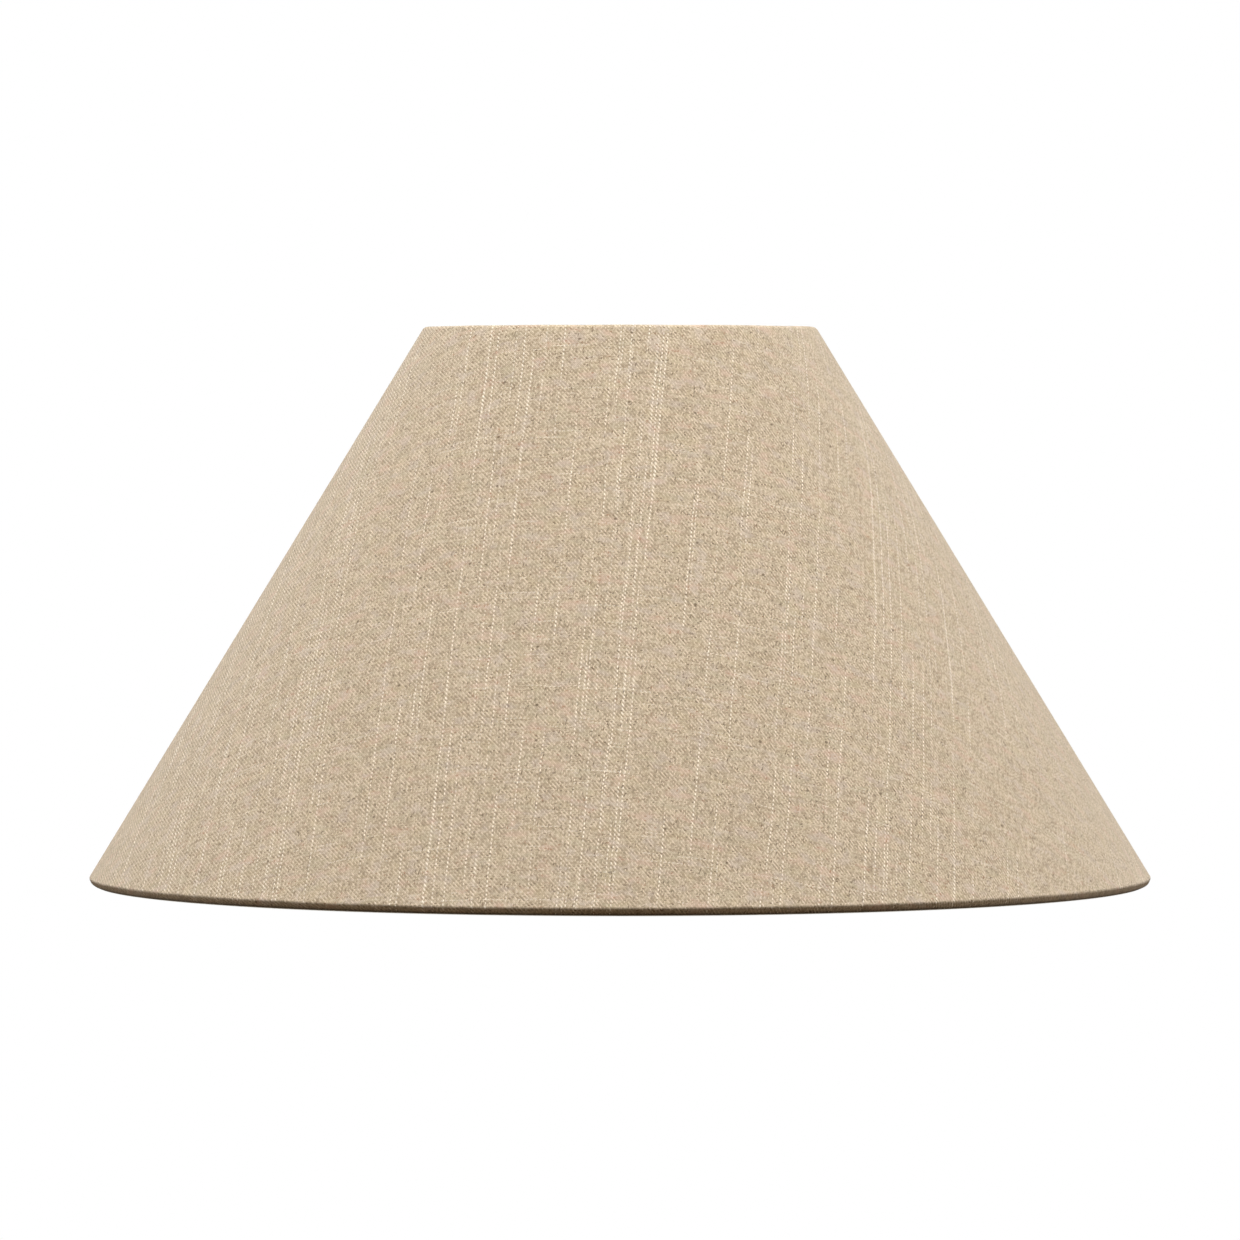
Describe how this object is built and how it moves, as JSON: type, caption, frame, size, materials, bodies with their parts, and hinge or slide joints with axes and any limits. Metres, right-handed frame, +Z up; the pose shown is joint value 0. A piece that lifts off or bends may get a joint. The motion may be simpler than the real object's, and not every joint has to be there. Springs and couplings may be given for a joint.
{
  "type": "lamp shade",
  "caption": "Cone lamp shade in natural linen-look twill over a stiff white lining, with rolled rims and a tilting ring fitter with a plastic reducer.",
  "frame": {"origin": "centre of the circle on which the bottom rim stands, on the surface it stands on", "axes": "+Z up along the shade's axis, the cover's lap at the back on +Y, the fitter's pivot axis along X"},
  "size_m": [0.4, 0.4, 0.21],
  "materials": {
    "linen": "natural linen-look twill with slubs and flecks, matt",
    "lining": "satin white flame-retardant sheet",
    "tape": "clear-white double-sided tape",
    "coated_wire": "white epoxy coating",
    "coated_ring": "white epoxy coating on pressed steel",
    "zinc_rivet": "bright zinc plated steel",
    "nylon": "natural nylon",
    "moulding": "white moulded thermoplastic, satin"
  },
  "bodies": {
    "shade": {"cover_fabric": "linen", "liner_sheet": "lining", "seam_tape": "tape", "top_ring": "coated_wire", "bottom_ring": "coated_wire", "pivot_lug_left": "coated_wire", "pivot_lug_right": "coated_wire", "pivot_rivet_left": "zinc_rivet", "pivot_rivet_right": "zinc_rivet", "pivot_washer_left": "nylon", "pivot_washer_right": "nylon"},
    "gimbal": {"gimbal_arm_left": "coated_wire", "gimbal_arm_right": "coated_wire", "fitter_ring": "coated_ring"},
    "reducer": {"reducer_ring": "moulding"}
  },
  "joints": [
    {"name": "gimbal_swing", "type": "hinge", "parent": "shade", "child": "gimbal", "pos_m": [0, 0, 0.19755], "axis": [1, 0, 0], "continuous": true},
    {"name": "reducer_lift", "type": "slide", "parent": "gimbal", "child": "reducer", "axis": [0, 0, 1], "range_m": [0, 0.02]}
  ]
}
